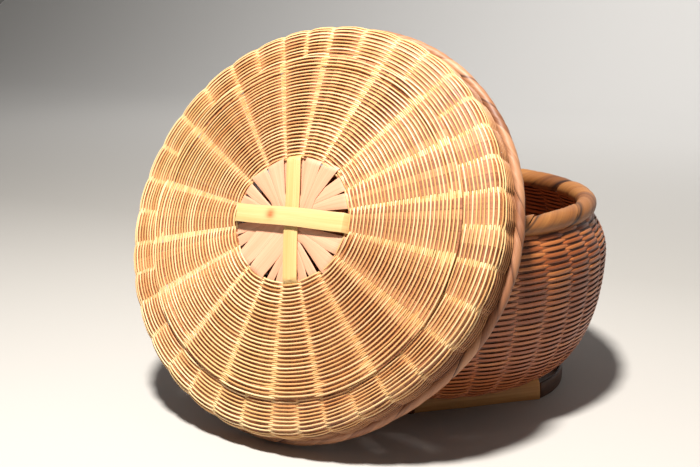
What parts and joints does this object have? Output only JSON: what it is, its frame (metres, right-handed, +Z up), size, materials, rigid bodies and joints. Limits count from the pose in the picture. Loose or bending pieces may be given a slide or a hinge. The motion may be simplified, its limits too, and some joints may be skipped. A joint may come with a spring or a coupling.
{
  "type": "lidded bamboo basket",
  "caption": "Round woven bamboo food basket on a low slat foot, with a domed woven lid leaning on its rim that lifts away.",
  "frame": {"origin": "centre of the underside of the whole object's box, on the surface it stands on", "axes": "+Z up along the basket's axis, -Y the side that the leaning lid faces, +X to the right seen from there"},
  "size_m": [0.3232, 0.334, 0.2773],
  "materials": {
    "pale_strip": "satin",
    "hub_splint": "matte",
    "lid_weave": "satin",
    "lid_rim": "satin",
    "basket_weave": "satin",
    "basket_rim": "satin",
    "foot_slat": "satin",
    "foot_tie": "matte"
  },
  "bodies": {
    "basket": {"base_cross_strip_outer": "pale_strip", "base_cross_strip_inner": "pale_strip", "base_wide_splint_1": "hub_splint", "base_wide_splint_2": "hub_splint", "base_wide_splint_3": "hub_splint", "base_wide_splint_4": "hub_splint", "basket_base_weave": "basket_weave", "basket_corner_weave": "basket_weave", "basket_lower_weave": "basket_weave", "basket_belly_weave": "basket_weave", "basket_shoulder_weave": "basket_weave", "basket_rim": "basket_rim", "foot_slat_front": "foot_slat", "foot_slat_back": "foot_slat", "foot_end_strip_right": "foot_slat", "foot_end_strip_left": "foot_slat", "foot_tie_front_1": "foot_tie", "foot_tie_front_2": "foot_tie", "foot_tie_back_1": "foot_tie", "foot_tie_back_2": "foot_tie"},
    "lid": {"lid_cross_strip_outer": "pale_strip", "lid_cross_strip_inner": "pale_strip", "lid_wide_splint_1": "hub_splint", "lid_wide_splint_2": "hub_splint", "lid_wide_splint_3": "hub_splint", "lid_wide_splint_4": "hub_splint", "lid_crown_weave": "lid_weave", "lid_raised_rows": "lid_weave", "lid_border_weave": "lid_weave", "lid_edge_weave": "lid_weave", "lid_side_weave": "lid_weave", "lid_rim": "lid_rim"}
  },
  "joints": [
    {"name": "lid_lift", "type": "slide", "parent": "basket", "child": "lid", "axis": [0, -0.9135, 0.4067], "range_m": [0, 0.25]}
  ]
}
